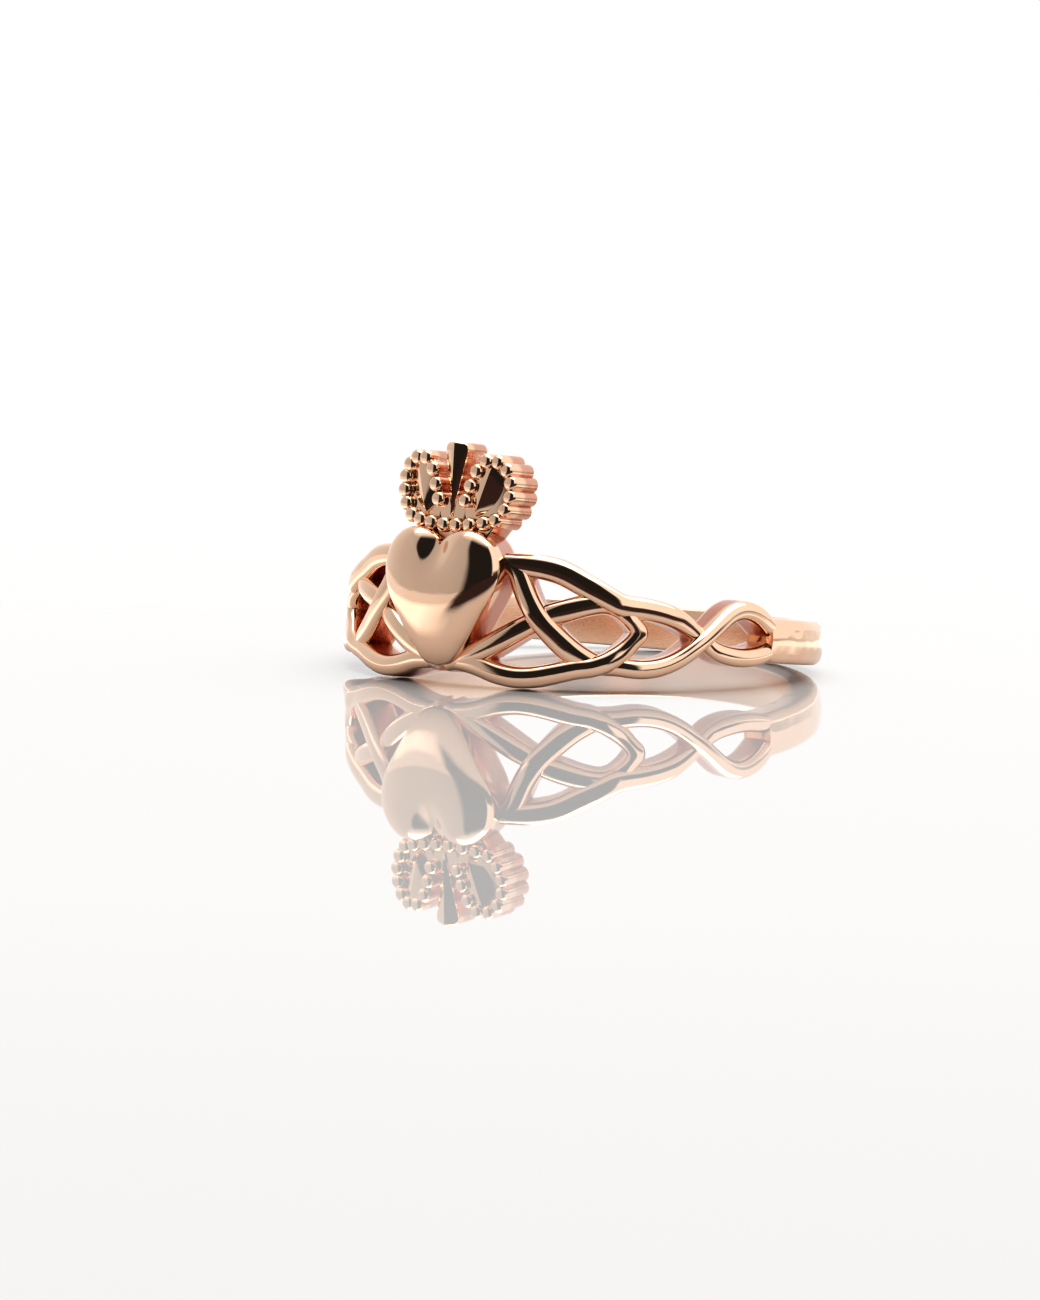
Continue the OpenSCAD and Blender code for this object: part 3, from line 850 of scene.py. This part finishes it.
# Where the shade reaches nearer to the ring
SHADE = [(-180, 0), (-10, 0), (OPEN_FROM, 1), (95, 1), (115, 0), (180, 0)]
NEAR_SHEET = [(-180, 1), (-25, 1), (0, 0.42), (OPEN_TO, 0.42), (80, 0.8), (180, 0.9)]


def around(tree, vector, stops):
    """A brightness that depends on the azimuth of a vector, as a colour."""
    xyz = add(tree, "ShaderNodeSeparateXYZ", {0: vector})
    ahead = add(tree, "ShaderNodeMath", {0: xyz.outputs[1], 1: -1.0}, operation="MULTIPLY")
    angle = add(
        tree, "ShaderNodeMath", {0: xyz.outputs[0], 1: ahead.outputs[0]}, operation="ARCTAN2"
    ).outputs[0]
    angle = add(tree, "ShaderNodeMapRange", {0: angle, 1: -math.pi, 2: math.pi}).outputs[0]
    ramp = add(tree, "ShaderNodeValToRGB", {0: angle})
    while len(ramp.color_ramp.elements) < len(stops):
        ramp.color_ramp.elements.new(0.5)
    for stop, (degrees, light) in zip(ramp.color_ramp.elements, stops):
        stop.position = (degrees + 180) / 360
        stop.color = (light, light, light, 1)
    return ramp.outputs[0]


print("the tent's opening is", OPEN_TO - OPEN_FROM, "degrees wide")

# %% The glossy table
bpy.ops.mesh.primitive_grid_add(x_subdivisions=8, y_subdivisions=8, size=6)
table = named("glossy_table")
acrylic = bpy.data.materials.new("white acrylic sheet, cast glossy")
acrylic.use_nodes = True
tree = acrylic.node_tree
tree.nodes.clear()
where = add(tree, "ShaderNodeTexCoord").outputs["Object"]
haze = add(tree, "ShaderNodeTexNoise", {"Vector": where, "Scale": 30.0}).outputs["Fac"]
haze = add(tree, "ShaderNodeMapRange", {0: haze, 3: 0.004, 4: 0.012}).outputs[0]
print("the sheet is", round(table.dimensions.x, 1), "m wide")

# %% How the sheet looks in the ring's mirror
# The camera sees the sheet mirror the tent at a flat angle, over a dim white. In the ring's own
# mirror the far sheet is as dim as the wall behind it, because it stands in the tent's shade. Near
# the ring the softbox lights it fully, and right under the ring it is in the ring's shadow.
# Distances are in metres.
SHEET_WHITE, SHADED, UNDER_RING = "#BCBBBA", "#271D1D", "#B3AFAD"
LIT_FROM, LIT_FULL = 0.034, 0.024
SHADE_FROM, SHADE_FULL = 0.016, 0.023
UNDER_FROM, UNDER_FULL = 0.0165, 0.0135
mirrored = add(tree, "ShaderNodeLightPath").outputs["Is Glossy Ray"]
distance = add(tree, "ShaderNodeVectorMath", {0: where}, operation="LENGTH").outputs["Value"]
near, tight, under = (
    add(
        tree, "ShaderNodeMapRange", {0: distance, 1: start, 2: full},
        interpolation_type="SMOOTHSTEP",
    ).outputs[0]
    for start, full in (
        (LIT_FROM, LIT_FULL), (SHADE_FROM, SHADE_FULL), (UNDER_FROM, UNDER_FULL),
    )
)
shade = add(
    tree, "ShaderNodeMix",
    {"Factor": near, "A": around(tree, where, FAR_SHEET), "B": around(tree, where, NEAR_SHEET)},
    data_type="RGBA",
).outputs["Result"]
# Ahead of the ring, on the camera's side and to its right, the shade reaches nearer
tight = add(
    tree, "ShaderNodeMath", {0: tight, 1: around(tree, where, SHADE)}, operation="MULTIPLY"
).outputs[0]
for share, tone in ((tight, SHADED), (under, UNDER_RING)):
    shade = add(
        tree, "ShaderNodeMix", {"Factor": share, "A": shade, "B": linear(tone)}, data_type="RGBA"
    ).outputs["Result"]
print("nodes so far:", len(tree.nodes))

# %% The sheet's colour and gloss
base = add(
    tree, "ShaderNodeMix",
    {"Factor": mirrored, "A": linear(SHEET_WHITE), "B": shade}, data_type="RGBA",
).outputs["Result"]
gloss = add(
    tree, "ShaderNodeMath", {0: mirrored, 1: -0.5, 2: 0.5}, operation="MULTIPLY_ADD"
).outputs[0]
sheet = add(
    tree, "ShaderNodeBsdfPrincipled",
    {"Base Color": base, "Roughness": haze, "IOR": 1.45, "Specular IOR Level": gloss},
)
add(tree, "ShaderNodeOutputMaterial", {"Surface": sheet.outputs[0]})
table.data.materials.append(acrylic)
table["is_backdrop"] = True
print("the sheet has", len(tree.nodes), "nodes")

# %% The white tent
world = bpy.data.worlds.new("white tent")
bpy.context.scene.world = world
world.use_nodes = True
tree = world.node_tree
tree.nodes.clear()
ray = add(tree, "ShaderNodeTexCoord").outputs["Generated"]
ray = add(tree, "ShaderNodeVectorMath", {0: ray}, operation="NORMALIZE").outputs[0]
height = add(tree, "ShaderNodeSeparateXYZ", {0: ray}).outputs[2]
# The seam fades out between these elevations, and the bright top starts between these, in degrees
SEAM_TOP, SEAM_FULL = 9, 3
ROOF_FROM, ROOF_FULL = 46, 66
low, overhead = (
    add(
        tree, "ShaderNodeMapRange",
        {0: height, 1: math.sin(math.radians(start)), 2: math.sin(math.radians(full))},
        interpolation_type="SMOOTHSTEP",
    ).outputs[0]
    for start, full in ((SEAM_TOP, SEAM_FULL), (ROOF_FROM, ROOF_FULL))
)
seam = add(
    tree, "ShaderNodeMath", {0: low, 1: around(tree, ray, SEAM)}, operation="MULTIPLY"
).outputs[0]
# The camera itself sees plain white all round
seen = add(tree, "ShaderNodeLightPath").outputs["Is Camera Ray"]
tent = around(tree, ray, WALL)
for share, tone in ((seam, linear("#453838")), (overhead, [1.3, 1.3, 1.3, 1]), (seen, [1] * 4)):
    tent = add(
        tree, "ShaderNodeMix", {"Factor": share, "A": tent, "B": tone}, data_type="RGBA"
    ).outputs["Result"]
light = add(tree, "ShaderNodeBackground", {"Color": tent, "Strength": 1.0})
add(tree, "ShaderNodeOutputWorld", {"Surface": light.outputs[0]})
print("the tent's opening is centred", (OPEN_FROM + OPEN_TO) / 2, "degrees right of the heart")

# %% The softbox over the table
# It lights the sheet from above and gives the ring its soft shadow
bpy.ops.object.light_add(type="AREA", location=(0, 0.1, 0.6))
softbox = bpy.context.active_object
softbox.name = "softbox"
softbox.data.shape = "SQUARE"
softbox.data.size = 0.7
softbox.data.energy = 4.0
softbox.data.color = (1, 0.985, 0.96)
print("the softbox hangs", softbox.location.z, "m up")

# %% [markdown]
# ## The camera
# A long lens looks from the ring's right front, from just above the table. Its place was fitted to
# the photograph: it is given by the azimuth, the elevation and a small roll, with a small offset
# so that the ring sits as it does in the frame. The image is 1040 by 1300 pixels.

# %% Place the camera
FOCAL_PX, IMAGE_W = 6174, 1040
VIEW_AZIMUTH, VIEW_ELEVATION, VIEW_ROLL = 36, 4.91, 1.76
# The eye's distance and its shift to the left and down, in millimetres
EYE_FAR, EYE_LEFT, EYE_DOWN = 260, 2.732, 1.170
# The fit was made with a lean of 4.9 degrees, so the camera turns with the ring to its true lean
FIT_LEAN = math.radians(4.9)
azimuth, elevation, roll = map(math.radians, (VIEW_AZIMUTH, VIEW_ELEVATION, VIEW_ROLL))
away = Vector((math.sin(azimuth), -math.cos(azimuth), 0)) * math.cos(elevation)
away.z = math.sin(elevation)
level = Vector((math.cos(azimuth), math.sin(azimuth), 0))
upward = away.cross(level)
eye = EYE_FAR * away - EYE_LEFT * level - EYE_DOWN * upward
right = math.cos(roll) * level + math.sin(roll) * upward
up = -math.sin(roll) * level + math.cos(roll) * upward
turn = Matrix.Rotation(-(TILT - FIT_LEAN), 3, "X")
right, up, away, eye = turn @ right, turn @ up, turn @ away, turn @ eye + CENTRE
lens = bpy.data.cameras.new("camera")
lens.sensor_fit = "HORIZONTAL"
lens.sensor_width = 36
lens.lens = 36 * FOCAL_PX / IMAGE_W
lens.clip_start, lens.clip_end = 0.01, 20
camera = bpy.data.objects.new("camera", lens)
bpy.context.scene.collection.objects.link(camera)
camera.matrix_world = Matrix.Translation(eye * MM) @ Matrix((right, up, away)).transposed().to_4x4()
bpy.context.scene.camera = camera
bpy.context.scene.view_settings.view_transform = "Standard"
print("lens", round(lens.lens, 1), "mm, eye at", [round(v) for v in eye], "mm")

# %% [markdown]
# ## Size
# The dressed ring must be as big as the solid. The dressed box is printed.

# %% Write the sizes and finish
low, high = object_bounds()
print("dressed box in mm:", [round(v * 1000, 2) for v in high - low])
